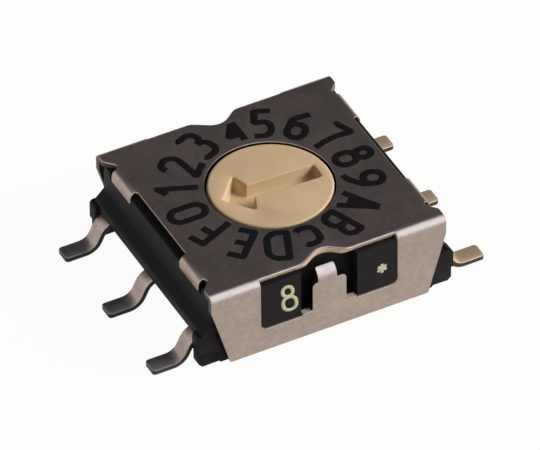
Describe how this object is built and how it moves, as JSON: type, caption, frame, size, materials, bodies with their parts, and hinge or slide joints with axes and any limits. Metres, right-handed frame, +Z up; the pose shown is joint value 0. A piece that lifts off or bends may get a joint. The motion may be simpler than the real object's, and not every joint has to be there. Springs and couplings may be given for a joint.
{
  "type": "rotary code switch",
  "caption": "Low square surface-mount rotary code switch: folded metal cover over a black case, cream arrow-slot rotor, gull-wing leads, hexadecimal dial.",
  "frame": {"origin": "middle of the plane that the lead feet stand on, under the rotor's axis", "axes": "+Z up along the rotor's axis, +X from one lead row to the other, towards the dial's 8, +Y towards the dial's 4"},
  "size_m": [0.0098, 0.0066, 0.0025],
  "materials": {
    "cover_sheet": "satin stainless sheet with a pinkish cast",
    "case_moulding": "black glass-filled moulding",
    "rotor_moulding": "cream moulding, fine matt",
    "seal_rubber": "matt silicone",
    "disc_plating": "gold plated",
    "spring_sheet": "rolled spring steel",
    "lead_plating": "dull tin plating over copper alloy"
  },
  "bodies": {
    "case": {"cover": "cover_sheet", "housing": "case_moulding", "base": "case_moulding", "detent_spring": "spring_sheet", "terminal_1": "lead_plating", "terminal_2": "lead_plating", "terminal_4": "lead_plating", "terminal_8": "lead_plating", "terminal_common_left": "lead_plating", "terminal_common_right": "lead_plating"},
    "adjuster": {"rotor": "rotor_moulding", "code_disc": "disc_plating", "rotor_seal": "seal_rubber"}
  },
  "joints": [
    {"name": "rotor_turn", "type": "hinge", "parent": "case", "child": "adjuster", "pos_m": [0, 0, 0.00148], "axis": [0, 0, 1], "continuous": true}
  ]
}
